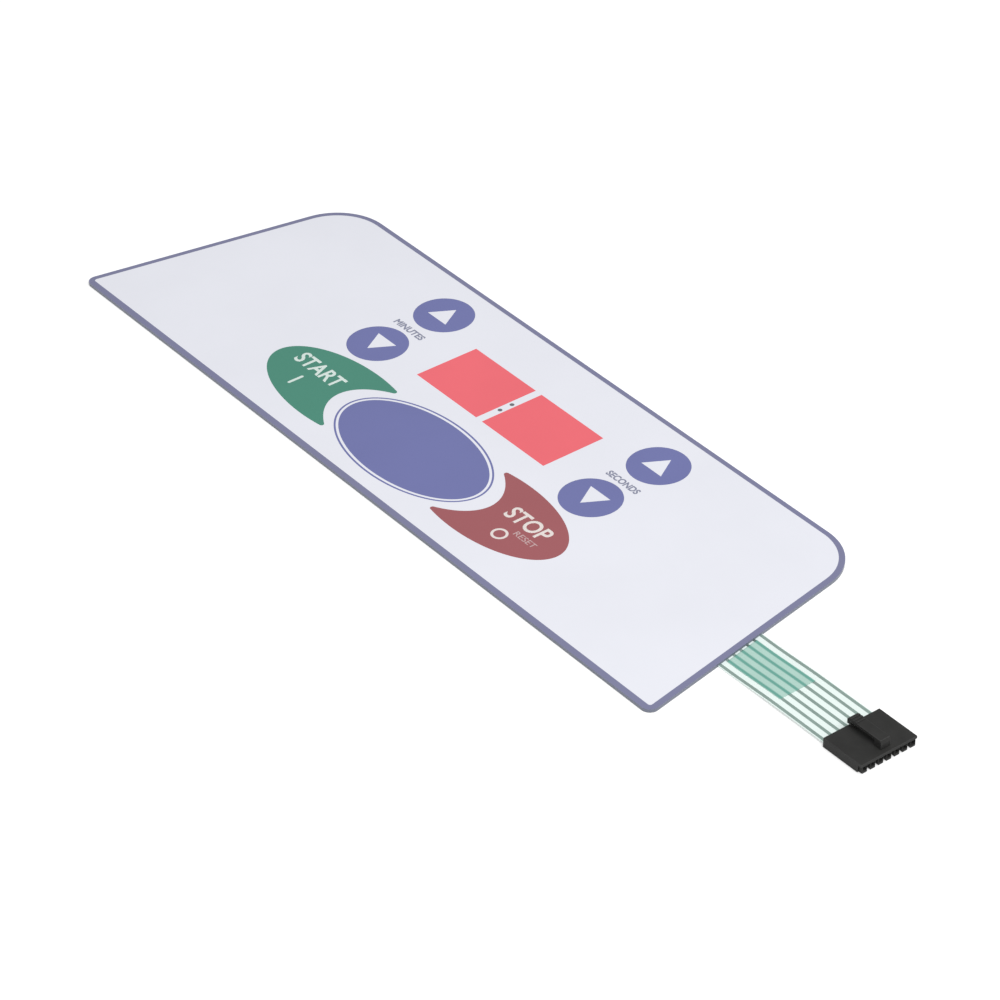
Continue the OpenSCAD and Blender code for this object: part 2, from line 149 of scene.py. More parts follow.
# Embossed film skin: fine grain over long soft waves, heights in metres
def makeFilmSkin():
    group, given, out = newGroup("filmSkin", [
        ("Vector", "Vector", None), ("Grain Size", "Float", 0.0003), ("Grain Height", "Float", 4e-6),
        ("Wave Size", "Float", 0.014), ("Wave Height", "Float", 1e-5), ("Cloud Size", "Float", 0.04),
    ], ["Height", "Grain", "Cloud"])
    place = given["Vector"]
    grainScale = addMath(group, (-700, 200), "DIVIDE", 1.0, given["Grain Size"])
    waveScale = addMath(group, (-700, 0), "DIVIDE", 1.0, given["Wave Size"])
    cloudScale = addMath(group, (-700, -200), "DIVIDE", 1.0, given["Cloud Size"])
    grain = addNoise(group, (-500, 200), place, grainScale, 3.0, 0.55)
    wave = addNoise(group, (-500, 0), place, waveScale, 1.0, 0.4)
    cloud = addNoise(group, (-500, -200), place, cloudScale, 4.0, 0.55)
    grainHeight = addMath(group, (-200, 200), "MULTIPLY", grain, given["Grain Height"])
    waveHeight = addMath(group, (-200, 0), "MULTIPLY", wave, given["Wave Height"])
    group.links.new(addMath(group, (100, 100), "ADD", grainHeight, waveHeight), out["Height"])
    group.links.new(grain, out["Grain"])
    group.links.new(addRange(group, (-200, -200), cloud, *noiseBand), out["Cloud"])
    return group


# Faint round dips of the film over the spacer's holes, heights in metres
def makeDimples():
    dimples = {"arrowRadius": 6.0 * mm, "actionRadius": 7.5 * mm, "depth": 1.2e-5, "blend": 1.6 * mm}
    group, given, out = newGroup("contactDimples", [("Vector", "Vector", None)], ["Height"])
    arrows = [middleOf(side + "_key_print") for side in ("left_up", "left_down", "right_up", "right_down")]
    actionY = middleOf("start_key_print").y
    places = [(p.x, p.y, dimples["arrowRadius"]) for p in arrows]
    places += [(side * actionReach, actionY, dimples["actionRadius"]) for side in (-1, 1)]
    flat = addNode(group, "ShaderNodeVectorMath", (-700, 0), operation="MULTIPLY")
    flat.inputs[1].default_value = (1, 1, 0)
    group.links.new(given["Vector"], flat.inputs[0])
    height = None
    for i, (x, y, radius) in enumerate(places):
        reach = addNode(group, "ShaderNodeVectorMath", (-500, -200 * i), operation="DISTANCE")
        reach.inputs[1].default_value = (x, y, 0)
        group.links.new(flat.outputs[0], reach.inputs[0])
        rim = addRange(group, (-300, -200 * i), reach.outputs["Value"],
                       radius - dimples["blend"], radius, 0.0, dimples["depth"])
        height = rim if height is None else addMath(group, (-100, -200 * i), "MINIMUM", height, rim)
    group.links.new(height, out["Height"])
    return group


# Cut edge of a film: 1 on upright faces and 0 on the flat ones
def makeCutEdge():
    upright, flat = 0.3, 0.7  # how far the face's normal leans to the vertical
    group, given, out = newGroup("cutEdge", [("Normal", "Vector", None)], ["Mask"])
    parts = addNode(group, "ShaderNodeSeparateXYZ", (-600, 0))
    group.links.new(given["Normal"], parts.inputs[0])
    lean = addMath(group, (-400, 0), "ABSOLUTE", parts.outputs["Z"])
    group.links.new(addRange(group, (-200, 0), lean, upright, flat, 1.0, 0.0), out["Mask"])
    return group


# Screen-printed ink: mesh marks and small pinholes
def makeInkSpeck():
    speckle = {"rareAt": 0.85, "perAmount": 0.4, "softness": 0.08}
    group, given, out = newGroup("inkSpeck", [
        ("Vector", "Vector", None), ("Size", "Float", 0.0006), ("Amount", "Float", 0.3),
    ], ["Mask"])
    scale = addMath(group, (-700, 0), "DIVIDE", 1.0, given["Size"])
    speck = addNoise(group, (-500, 0), given["Vector"], scale, 2.0, 0.6)
    lowered = addMath(group, (-700, -200), "MULTIPLY", given["Amount"], speckle["perAmount"])
    level = addMath(group, (-500, -200), "SUBTRACT", speckle["rareAt"], lowered)
    above = addMath(group, (-300, 0), "SUBTRACT", speck, level)
    group.links.new(addRange(group, (-100, 0), above, 0.0, speckle["softness"]), out["Mask"])
    return group


groups = {
    "skin": makeFilmSkin(),
    "dimples": makeDimples(),
    "cutEdge": makeCutEdge(),
    "speck": makeInkSpeck(),
}
print("shader groups made")


def newMaterial(name):
    material = bpy.data.materials.new(name)
    material.use_nodes = True
    tree = material.node_tree
    tree.nodes.clear()
    output = addNode(tree, "ShaderNodeOutputMaterial", (900, 0))
    surface = addNode(tree, "ShaderNodeBsdfPrincipled", (600, 0))
    tree.links.new(surface.outputs["BSDF"], output.inputs["Surface"])
    where = addNode(tree, "ShaderNodeTexCoord", (-1300, 0))
    return material, tree, surface, where


def addGroup(tree, place, group, vector, **values):
    node = addNode(tree, "ShaderNodeGroup", place, node_tree=groups[group])
    tree.links.new(vector, node.inputs[0])
    setInputs(node, **values)
    return node.outputs


def mixColour(tree, place, factor, first, second):
    node = addNode(tree, "ShaderNodeMix", place, data_type="RGBA")
    tree.links.new(factor, node.inputs[0])
    for socket, value in ((node.inputs[6], first), (node.inputs[7], second)):
        if isinstance(value, tuple):
            socket.default_value = (*value, 1.0)
        else:
            tree.links.new(value, socket)
    return node.outputs[2]


def shade(colour, amount):
    return tuple(channel * amount for channel in colour)


def roughenBy(tree, surface, grain, rough):
    tree.links.new(addRange(tree, (-350, 0), grain, *noiseBand, *rough, smooth=False),
                   surface.inputs["Roughness"])


def bumpBy(tree, surface, height):
    bump = addNode(tree, "ShaderNodeBump", (200, -300))
    bump.inputs["Distance"].default_value = 1.0
    bump.inputs["Strength"].default_value = 1.0
    tree.links.new(height, bump.inputs["Height"])
    tree.links.new(bump.outputs["Normal"], surface.inputs["Normal"])


# Skin of each finish in metres, and the least and greatest roughness of those that have one of each
skins = {
    "film": {"Grain_Size": 0.0008, "Grain_Height": 1.5e-6, "Wave_Size": 0.012, "Wave_Height": 1.6e-5},
    "silver": {"Grain_Size": 0.00012, "Grain_Height": 3e-6, "Wave_Size": 0.0009, "Wave_Height": 4e-6,
               "Cloud_Size": 0.004},
    "coat": {"Grain_Size": 0.0005, "Grain_Height": 2e-6, "Wave_Size": 0.006, "Wave_Height": 8e-6,
             "Cloud_Size": 0.008},
    "liner": {"Grain_Size": 0.0006, "Grain_Height": 4e-6, "Wave_Size": 0.02, "Wave_Height": 2e-5,
              "Cloud_Size": 0.012},
    "moulding": {"Grain_Size": 0.00016, "Wave_Size": 0.003, "Wave_Height": 6e-6, "Cloud_Size": 0.005},
    "tin": {"Grain_Size": 0.0002, "Grain_Height": 1e-6, "Wave_Size": 0.001, "Wave_Height": 2e-6,
            "Cloud_Size": 0.002},
}
roughness = {"silver": (0.42, 0.62), "coat": (0.3, 0.42), "liner": (0.45, 0.6), "tin": (0.25, 0.38)}
metalness = {"silver": 0.45, "tin": 1.0}


# Printed overlay: ink under an embossed skin, with a dark cut edge that is partly ink overspray and partly
# painted shade
def makeInk(name, colour, edge, rough=(0.36, 0.46), speck=0.25, cloud=0.95, dimpled=True):
    speckShade = 0.9
    material, tree, surface, where = newMaterial(name)
    place = where.outputs["Object"]
    skin = addGroup(tree, (-1000, 200), "skin", place)
    specks = addGroup(tree, (-1000, -100), "speck", place, Amount=speck)
    cut = addGroup(tree, (-1000, -300), "cutEdge", where.outputs["Normal"])
    clouded = mixColour(tree, (-600, 300), skin["Cloud"], shade(colour, cloud), colour)
    specked = mixColour(tree, (-350, 300), specks["Mask"], clouded, shade(colour, speckShade))
    # Painted shade: upright cut faces take the dark edge colour, which is partly ink overspray and partly
    # painted shade
    finished = mixColour(tree, (-100, 300), cut["Mask"], specked, edge)
    tree.links.new(finished, surface.inputs["Base Color"])
    roughenBy(tree, surface, skin["Grain"], rough)
    height = skin["Height"]
    if dimpled:
        dips = addGroup(tree, (-1000, -500), "dimples", place)
        height = addMath(tree, (-350, -300), "ADD", height, dips["Height"])
    bumpBy(tree, surface, height)
    return material


# From 0 to 1 where the tail leaves the panel's leaning side
def pastPanel(tree, place, vector, clear, blend):
    x, y = place
    parts = addNode(tree, "ShaderNodeSeparateXYZ", (x, y))
    tree.links.new(vector, parts.inputs[0])
    leaning = addMath(tree, (x + 150, y - 100), "MULTIPLY", parts.outputs["Y"], panelSide["lean"])
    outward = addMath(tree, (x + 300, y), "ADD", parts.outputs["X"], leaning)
    start = panelSide["middle"] + clear
    return addRange(tree, (x + 450, y), outward, start, start + blend)


# Film or adhesive, seen mostly at the cut edge, which is painted dark: partly ink overspray, partly painted
# shade. On the tail its own cut edge is pale and most light falls through it.
def makeFilm(name, colour, edge, rough=(0.16, 0.26), tail=None):
    cloudShade = 0.97
    material, tree, surface, where = newMaterial(name)
    place = where.outputs["Object"]
    skin = addGroup(tree, (-1000, 200), "skin", place, **skins["film"])
    edgeMask = addGroup(tree, (-1000, -300), "cutEdge", where.outputs["Normal"])["Mask"]
    clouded = mixColour(tree, (-600, 300), skin["Cloud"], shade(colour, cloudShade), colour)
    if tail:
        tailSeen = addRange(tree, (-600, -1000), edgeMask, 0.0, 1.0, tail["seen"], tail["edgeSeen"])
        onTail = pastPanel(tree, (-1250, -500), place, tail["clear"], tail["blend"])
        onPanel = addMath(tree, (-600, -500), "SUBTRACT", 1.0, onTail)
        edgeMask = addMath(tree, (-400, -400), "MULTIPLY", edgeMask, onPanel)
        path = addNode(tree, "ShaderNodeLightPath", (-800, -800))
        seen = addRange(tree, (-400, -800), path.outputs["Is Camera Ray"], 0.0, 1.0, tail["lit"], tailSeen)
        tree.links.new(addRange(tree, (-350, -200), onTail, 0.0, 1.0, 1.0, seen), surface.inputs["Alpha"])
    # Painted shade: the cut edge takes the dark edge colour, partly ink overspray and partly painted shade
    tree.links.new(mixColour(tree, (-100, 300), edgeMask, clouded, edge), surface.inputs["Base Color"])
    roughenBy(tree, surface, skin["Grain"], rough)
    bumpBy(tree, surface, skin["Height"])
    return material


# Silver ink: flakes and the marks of the screen's mesh
def makeSilver(name, colour):
    shades = {"dull": 0.8, "bright": 1.15, "cloud": 0.88}
    material, tree, surface, where = newMaterial(name)
    skin = addGroup(tree, (-1000, 200), "skin", where.outputs["Object"], **skins["silver"])
    flaked = mixColour(tree, (-600, 300), skin["Grain"], shade(colour, shades["dull"]),
                       shade(colour, shades["bright"]))
    tree.links.new(mixColour(tree, (-350, 300), skin["Cloud"], shade(colour, shades["cloud"]), flaked),
                   surface.inputs["Base Color"])
    roughenBy(tree, surface, skin["Grain"], roughness["silver"])
    surface.inputs["Metallic"].default_value = metalness["silver"]
    bumpBy(tree, surface, skin["Height"])
    return material


# Green insulating coat: it darkens over each conductor that runs below it
def makeCoat(name, colour, overTrace):
    coat = {"trace": 0.9 * mm, "blur": 0.25 * mm, "clear": 0.4 * mm, "blend": 0.5 * mm, "cloudShade": 0.94,
            "lanesAway": 10.5}  # far enough that every lane lies at a positive distance
    material, tree, surface, where = newMaterial(name)
    place = where.outputs["Object"]
    skin = addGroup(tree, (-1000, 200), "skin", place, **skins["coat"])
    parts = addNode(tree, "ShaderNodeSeparateXYZ", (-1100, -300))
    tree.links.new(place, parts.inputs[0])
    first = (coatLow.y + coatHigh.y) / 2 - tailPitch * coat["lanesAway"]
    shifted = addMath(tree, (-900, -300), "SUBTRACT", parts.outputs["Y"], first)
    lane = addMath(tree, (-750, -300), "MODULO", shifted, tailPitch)
    offCentre = addMath(tree, (-680, -400), "SUBTRACT", lane, tailPitch / 2)
    away = addMath(tree, (-600, -300), "ABSOLUTE", offCentre)
    stripe = addRange(tree, (-450, -300), away, coat["trace"] / 2 - coat["blur"],
                      coat["trace"] / 2 + coat["blur"], 1.0, 0.0)
    clouded = mixColour(tree, (-600, 300), skin["Cloud"], shade(colour, coat["cloudShade"]), colour)
    tree.links.new(mixColour(tree, (-200, 300), stripe, clouded, overTrace), surface.inputs["Base Color"])
    tree.links.new(pastPanel(tree, (-1100, -700), place, coat["clear"], coat["blend"]),
                   surface.inputs["Alpha"])
    roughenBy(tree, surface, skin["Grain"], roughness["coat"])
    bumpBy(tree, surface, skin["Height"])
    return material


# Glassine liner: faint long fibres in a pale sheet
def makeLiner(name, colour, fibre):
    fibreLength = 4.0  # times as long as wide
    material, tree, surface, where = newMaterial(name)
    stretch = addNode(tree, "ShaderNodeMapping", (-1150, 200))
    stretch.inputs["Scale"].default_value = (1 / fibreLength, 1.0, 1.0)
    tree.links.new(where.outputs["Object"], stretch.inputs["Vector"])
    skin = addGroup(tree, (-950, 200), "skin", stretch.outputs["Vector"], **skins["liner"])
    fibres = mixColour(tree, (-700, 300), skin["Grain"], fibre, colour)
    tree.links.new(mixColour(tree, (-500, 300), skin["Cloud"], fibres, colour), surface.inputs["Base Color"])
    roughenBy(tree, surface, skin["Grain"], roughness["liner"])
    bumpBy(tree, surface, skin["Height"])
    return material


# Moulded plastic with a spark-eroded skin: the housing, and its edges that are rubbed smoother and paler
def makeMoulding(name, colour, rough, grainHeight, specular):
    shades = {"dark": 0.85, "pale": 1.1}
    material, tree, surface, where = newMaterial(name)
    surface.inputs["Specular IOR Level"].default_value = specular
    skin = addGroup(tree, (-1000, 200), "skin", where.outputs["Object"], Grain_Height=grainHeight,
                    **skins["moulding"])
    tree.links.new(mixColour(tree, (-600, 300), skin["Cloud"], shade(colour, shades["dark"]),
                             shade(colour, shades["pale"])), surface.inputs["Base Color"])
    roughenBy(tree, surface, skin["Grain"], rough)
    bumpBy(tree, surface, skin["Height"])
    return material


# Tin plate: a clean metal, a little duller in clouds
def makeTin(name, colour):
    cloudShade = 0.85
    material, tree, surface, where = newMaterial(name)
    skin = addGroup(tree, (-1000, 200), "skin", where.outputs["Object"], **skins["tin"])
    tree.links.new(mixColour(tree, (-600, 300), skin["Cloud"], shade(colour, cloudShade), colour),
                   surface.inputs["Base Color"])
    roughenBy(tree, surface, skin["Grain"], roughness["tin"])
    surface.inputs["Metallic"].default_value = metalness["tin"]
    bumpBy(tree, surface, skin["Height"])
    return material


# Colours of the finishes
finish = {
    "sheet": (0.86, 0.87, 0.94),
    "blue": (0.17, 0.186, 0.43),
    "border": (0.215, 0.22, 0.36),
    "green": (0.067, 0.275, 0.197),
    "red": (0.375, 0.108, 0.12),
    "window": (0.94, 0.158, 0.19),
    "grey": (0.16, 0.17, 0.19),
    "startLetter": (0.74, 0.86, 0.81),
    "stopLetter": (0.84, 0.76, 0.73),
    "thinLetter": (0.60, 0.43, 0.43),
    "label": (0.27, 0.285, 0.39),
    # Dark colours of the cut edges: partly ink overspray, partly painted shade
    "cut": (0.18, 0.20, 0.27),
    "cutFilmOversprayAndShade": (0.20, 0.22, 0.29),
    "film": (0.88, 0.99, 0.955),
    "clear": (0.86, 0.88, 0.90),
    "spacer": (0.80, 0.81, 0.82),
    "silver": (0.365, 0.49, 0.445),
    "coat": (0.47, 0.70, 0.62),
    "coatOverTrace": (0.14, 0.39, 0.32),
    "liner": (0.78, 0.77, 0.73),
    "fibre": (0.70, 0.68, 0.63),
    "housing": (0.026, 0.026, 0.025),
    "rubbed": (0.038, 0.038, 0.038),
    "tin": (0.70, 0.69, 0.66),
}

# Where the film turns clear on the tail, how solid its faces and its cut edge look there, and how much light
# it stops
tailFilm = {"clear": 0.1 * mm, "blend": 0.2 * mm, "seen": 0.96, "edgeSeen": 0.3, "lit": 0.3}

materials = {
    "ground_ink": makeInk("paleGroundInk", finish["sheet"], finish["cut"], cloud=0.975),
    "blue_ink": makeInk("blueKeyInk", finish["blue"], finish["cut"]),
    "border_ink": makeInk("blueBorderInk", finish["border"], finish["cut"], dimpled=False),
    "green_ink": makeInk("greenKeyInk", finish["green"], finish["cut"]),
    "red_ink": makeInk("redKeyInk", finish["red"], finish["cut"]),
    "window_ink": makeInk("redWindowInk", finish["window"], finish["cut"], rough=(0.16, 0.24),
                          speck=0.05, dimpled=False),
    "grey_ink": makeInk("greyColonInk", finish["grey"], finish["cut"], dimpled=False),
    "start_letter_ink": makeInk("startLetterInk", finish["startLetter"], finish["startLetter"],
                                dimpled=False),
    "stop_letter_ink": makeInk("stopLetterInk", finish["stopLetter"], finish["stopLetter"],
                               dimpled=False),
    "small_ink": makeInk("thinLetterInk", finish["thinLetter"], finish["thinLetter"], dimpled=False),
    "label_ink": makeInk("greyLabelInk", finish["label"], finish["label"], dimpled=False),
    "overlay_clear": makeFilm("overlayFilm", finish["clear"], finish["cutFilmOversprayAndShade"]),
    "clear_adhesive": makeFilm("clearAdhesive", finish["clear"], finish["cutFilmOversprayAndShade"], rough=(0.3, 0.5)),
    "circuit_film": makeFilm("circuitFilm", finish["film"], finish["cutFilmOversprayAndShade"], tail=tailFilm),
    "spacer_film": makeFilm("spacerFilm", finish["spacer"], finish["cutFilmOversprayAndShade"], rough=(0.4, 0.55)),
    "silver_ink": makeSilver("silverInk", finish["silver"]),
    "coat_ink": makeCoat("greenCoat", finish["coat"], finish["coatOverTrace"]),
    "liner_paper": makeLiner("linerPaper", finish["liner"], finish["fibre"]),
    "housing_plastic": makeMoulding("housingPlastic", finish["housing"], (0.58, 0.7), 5e-6, 0.3),
    "rubbed_plastic": makeMoulding("rubbedPlastic", finish["rubbed"], (0.45, 0.58), 2e-6, 0.35),
    "tin_plate": makeTin("tinPlate", finish["tin"]),
}

nodeSlots = {row["node"]: row["material_slot"] for row in frame["record"]["subparts"]}
for name, piece in nodes.items():
    chosen = "border_ink" if name == "border_print" else nodeSlots[name]
    piece.data.materials.clear()
    piece.data.materials.append(materials[chosen])
print("finishes on", len(nodes), "CAD nodes")


def addPiece(name, mesh):
    piece = bpy.data.objects.new(name, mesh)
    scene.collection.objects.link(piece)
    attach(piece, "root")
    return piece


# Border print: the blue line is narrower on the far and left sides, and pale ground fills the rest of its
# band.
# The corners are named by their place on the panel.
border = {"nearHalf": 121.1 * mm, "farHalf": 107.1 * mm, "nearRadius": 2.5 * mm, "farRadius": 16.0 * mm,
          "band": 1.9 * mm, "steps": 16, "near": 1.86 * mm, "right": 1.75 * mm, "far": 1.5 * mm,
          "left": 1.5 * mm}


def borderRing(insets):
    low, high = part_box("border_print")
    lean = math.atan((border["nearHalf"] - border["farHalf"]) / (high.y - low.y))
    reach = border["farHalf"] * math.cos(lean) + high.y * math.sin(lean)
    right = math.pi - lean
    corners = [
        (1, low.y, border["nearRadius"], -math.pi / 2, lean, "near", "right"),
        (1, high.y, border["farRadius"], lean, math.pi / 2, "right", "far"),
        (-1, high.y, border["farRadius"], math.pi / 2, right, "far", "left"),
        (-1, low.y, border["nearRadius"], right, math.pi * 1.5, "left", "near"),
    ]
    ring = []
    for side, edge, radius, start, end, first, last in corners:
        y = edge - radius if edge > 0 else edge + radius
        x = side * (reach - radius - y * math.sin(lean)) / math.cos(lean)
        for i in range(border["steps"] + 1):
            share = i / border["steps"]
            angle = start + (end - start) * share
            inset = insets[first] * (1 - share) + insets[last] * share
            ring.append((x + (radius - inset) * math.cos(angle), y + (radius - inset) * math.sin(angle)))
    return ring


def borderPrint():
    low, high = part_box("border_print")
    sides = ("near", "right", "far", "left")
    outer, line, inner = (borderRing(insets) for insets in (
        dict.fromkeys(sides, 0.0), border, dict.fromkeys(sides, border["band"])))
    solid = bmesh.new()
    rings = [[solid.verts.new((x, y, z)) for x, y in ring] for ring, z in (
        (outer, low.z), (outer, high.z), (line, high.z), (inner, high.z), (inner, low.z))]
    count = len(outer)
    for k, ring in enumerate(rings):
        beyond = rings[(k + 1) % len(rings)]
        for i in range(count):
            j = (i + 1) % count
            face = solid.faces.new((ring[i], ring[j], beyond[j], beyond[i]))
            face.material_index = 1 if k in (2, 3) else 0  # pale from the line's edge inwards
    bmesh.ops.recalc_face_normals(solid, faces=solid.faces)
    mesh = meshFrom(solid, "borderLine")
    mesh.materials.append(materials["border_ink"])
    mesh.materials.append(materials["ground_ink"])
    return addPiece("borderLine", mesh)


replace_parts(borderPrint(), "border_print")
print("border print made")


# A CAD node's form as a merged mesh with whole faces
def copyOfNode(node, name):
    solid = bmesh.new()
    solid.from_mesh(nodes[node].data)
    bmesh.ops.remove_doubles(solid, verts=solid.verts, dist=weld["close"])
    bmesh.ops.dissolve_limit(solid, angle_limit=weld["flat"], verts=solid.verts, edges=solid.edges)
    mesh = meshFrom(solid, name)
    for extra in [a.name for a in mesh.attributes if a.name == "custom_normal"]:
        mesh.attributes.remove(mesh.attributes[extra])
    return mesh


# Start and stop keys: the print's tips are rounded, and pale ground fills what the rounding leaves
keyTips = {"radius": 0.7 * mm, "steps": 8, "turn": math.radians(60), "search": 6.0 * mm, "samples": 240,
           "halvings": 24}


# Points of the print's upper face in order, seen from above
def outlineOf(node):
    mesh = copyOfNode(node, node + "Outline")
    top = max((face for face in mesh.polygons if face.normal.z > 0.5), key=lambda face: face.area)
    outline = [mesh.vertices[i].co.xy.copy() for i in top.vertices]
    bpy.data.meshes.remove(mesh)
    return outline


# Point at a length along the outline from a corner, with the side's direction and the corner that follows
def walkFrom(outline, corner, way, length):
    i = corner
    while True:
        j = (i + way) % len(outline)
        side = outline[j] - outline[i]
        if length <= side.length:
            return outline[i] + side.normalized() * length, side.normalized(), j
        length -= side.length
        i = j


# Circle of the tip's radius that touches both sides: found by halving the distance along one side
def tipCircle(outline, corner):
    radius = keyTips["radius"]
    others = [walkFrom(outline, corner, -1, keyTips["search"] * i / keyTips["samples"])
              for i in range(1, keyTips["samples"])]
    near, far = 0.0, keyTips["search"]
    for _ in range(keyTips["halvings"]):
        reach = (near + far) / 2
        touch, way, after = walkFrom(outline, corner, 1, reach)
        centre = touch + Vector((-way.y, way.x)) * radius
        other, _, before = min(others, key=lambda row: (row[0] - centre).length)
        if (other - centre).length < radius:
            near = reach
        else:
            far = reach
    first = math.atan2(other.y - centre.y, other.x - centre.x)
    sweep = (math.atan2(touch.y - centre.y, touch.x - centre.x) - first) % math.tau
    arc = [centre + Vector((math.cos(first + sweep * i / keyTips["steps"]),
                            math.sin(first + sweep * i / keyTips["steps"]))) * radius
           for i in range(1, keyTips["steps"])]
    return {"before": before, "after": after, "arc": [other, *arc, touch]}


# Body of the print with round tips, a pale wedge beyond each, and one wall round them all
def keyPrint(name, node, ink):
    outline = outlineOf(node)
    count = len(outline)
    cuts = {}
    for i in range(count):
        arriving = outline[i] - outline[i - 1]
        leaving = outline[(i + 1) % count] - outline[i]
        if arriving.angle(leaving) > keyTips["turn"]:
            cut = tipCircle(outline, i)
            cuts[cut["before"]] = cut
    body, whole, tips = [], [], []
    i = start = next(iter(cuts.values()))["after"]
    while True:
        body.append(outline[i])
        whole.append(outline[i])
        if i in cuts:
            cut = cuts[i]
            arc = cut["arc"]
            between = [outline[(i + k) % count] for k in range(1, (cut["after"] - i) % count)]
            body += arc
            whole += [arc[0], *between, arc[-1]]
            tips.append([arc[0], *between, *reversed(arc[1:])])
            i = cut["after"]
        else:
            i = (i + 1) % count
        if i == start:
            break
    low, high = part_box(node)
    solid = bmesh.new()
    for index, ring in [(0, body)] + [(1, tip) for tip in tips]:
        for z in (low.z, high.z):
            solid.faces.new([solid.verts.new((p.x, p.y, z)) for p in ring]).material_index = index
    for i, p in enumerate(whole):
        q = whole[i - 1]
        solid.faces.new([solid.verts.new(place) for place in (
            (p.x, p.y, low.z), (q.x, q.y, low.z), (q.x, q.y, high.z), (p.x, p.y, high.z))])
    bmesh.ops.remove_doubles(solid, verts=solid.verts, dist=weld["fine"])
    bmesh.ops.recalc_face_normals(solid, faces=solid.faces)
    print(name, "tips", len(tips), "open edges", sum(len(e.link_faces) != 2 for e in solid.edges))
    mesh = meshFrom(solid, name)
    mesh.materials.append(materials[ink])
    mesh.materials.append(materials["ground_ink"])
    return addPiece(name, mesh)


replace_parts(keyPrint("startKey", "start_key_print", "green_ink"), "start_key_print")
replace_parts(keyPrint("stopKey", "stop_key_print", "red_ink"), "stop_key_print")
print("start and stop keys made")

# Printed words: thin raised ink that starts just inside the print below it. Each row holds a piece's name,
# its word, the place it belongs to, the middle's offset and the size in mm, its boldness and its ink.
startAt = Vector((-actionReach, middleOf("start_key_print").y, 0))
stopAt = Vector((actionReach, middleOf("stop_key_print").y, 0))
leftLabelAt = (middleOf("left_up_key_print") + middleOf("left_down_key_print")) / 2
rightLabelAt = (middleOf("right_up_key_print") + middleOf("right_down_key_print")) / 2
lettering = {
    "sink": 0.010 * mm,
    "rise": 0.012 * mm,
    "curveSteps": 6,
    "words": [
        ("startWord", "START", startAt, (1.3, 2.75), (18.2, 5.2), 0.022, "start_letter_ink"),
        ("stopWord", "STOP", stopAt, (-1.57, 2.95), (15.2, 5.4), 0.022, "stop_letter_ink"),
        ("resetWord", "RESET", stopAt, (3.15, -2.0), (7.8, 1.9), 0.0, "small_ink"),
        ("minutesWord", "MINUTES", leftLabelAt, (-0.1, -0.45), (12.0, 2.3), 0.034, "label_ink"),
        ("secondsWord", "SECONDS", rightLabelAt, (-0.05, -0.5), (12.0, 2.3), 0.034, "label_ink"),
    ],
}


def printedWords(name, words, place, offset, size, boldness, ink):
    curve = bpy.data.curves.new(name, "FONT")
    curve.body = words
    curve.bevel_depth = boldness
    curve.bevel_resolution = 0
    curve.extrude = 0.5  # any depth will do, because the mesh is scaled to its size below
    curve.resolution_u = lettering["curveSteps"]
    maker = bpy.data.objects.new(name + "Maker", curve)
    scene.collection.objects.link(maker)
    mesh = evaluatedMesh(maker)
    bpy.data.objects.remove(maker)
    mesh.name = name
    low = [min(v.co[i] for v in mesh.vertices) for i in range(3)]
    high = [max(v.co[i] for v in mesh.vertices) for i in range(3)]
    for vertex in mesh.vertices:
        share = [(vertex.co[i] - low[i]) / (high[i] - low[i]) for i in range(3)]
        vertex.co = (
            place.x + (offset[0] + (share[0] - 0.5) * size[0]) * mm,
            place.y + (offset[1] + (share[1] - 0.5) * size[1]) * mm,
            inkTop - lettering["sink"] + share[2] * (lettering["sink"] + lettering["rise"]),
        )
    return finishPrint(name, mesh, ink)


def finishPrint(name, mesh, ink):
    solid = bmesh.new()
    solid.from_mesh(mesh)
    bmesh.ops.remove_doubles(solid, verts=solid.verts, dist=weld["fine"])
    bmesh.ops.recalc_face_normals(solid, faces=solid.faces)
    solid.to_mesh(mesh)
    solid.free()
    mesh.materials.clear()
    mesh.materials.append(materials[ink])
    return addPiece(name, mesh)


for row in lettering["words"]:
    printedWords(*row)

# On and off marks: a bar with round ends and a ring, with offsets and sizes in mm
marks = {"bar": (0.9, -5.05), "barSize": (0.85, 5.1), "ring": (-2.87, -5.47), "ringOuter": 4.6,
         "ringStroke": 0.72, "steps": 48}


def placed(place, offset, points):
    return [(place.x + (offset[0] + x) * mm, place.y + (offset[1] + y) * mm) for x, y in points]


def circlePoints(radius, steps):
    return [(radius * math.cos(math.tau * i / steps), radius * math.sin(math.tau * i / steps))
            for i in range(steps)]


def barPoints(width, height, steps):
    radius = width / 2
    reach = height / 2 - radius
    return [(x, y + (reach if y >= 0 else -reach)) for x, y in circlePoints(radius, steps)]


def printedShape(name, ink, outer, inner=None):
    low = inkTop - lettering["sink"]
    high = inkTop + lettering["rise"]
    solid = bmesh.new()
    rings = []
    for outline in filter(None, (outer, inner)):
        for z in (low, high):
            rings.append([solid.verts.new((x, y, z)) for x, y in outline])
    count = len(outer)
    for i in range(count):
        j = (i + 1) % count
        solid.faces.new((rings[0][i], rings[0][j], rings[1][j], rings[1][i]))
        if inner:
            solid.faces.new((rings[3][i], rings[3][j], rings[2][j], rings[2][i]))
            solid.faces.new((rings[1][i], rings[1][j], rings[3][j], rings[3][i]))
            solid.faces.new((rings[2][i], rings[2][j], rings[0][j], rings[0][i]))
    if not inner:
        solid.faces.new(rings[0])
        solid.faces.new(rings[1])
    bmesh.ops.recalc_face_normals(solid, faces=solid.faces)
    return finishPrint(name, meshFrom(solid, name), ink)


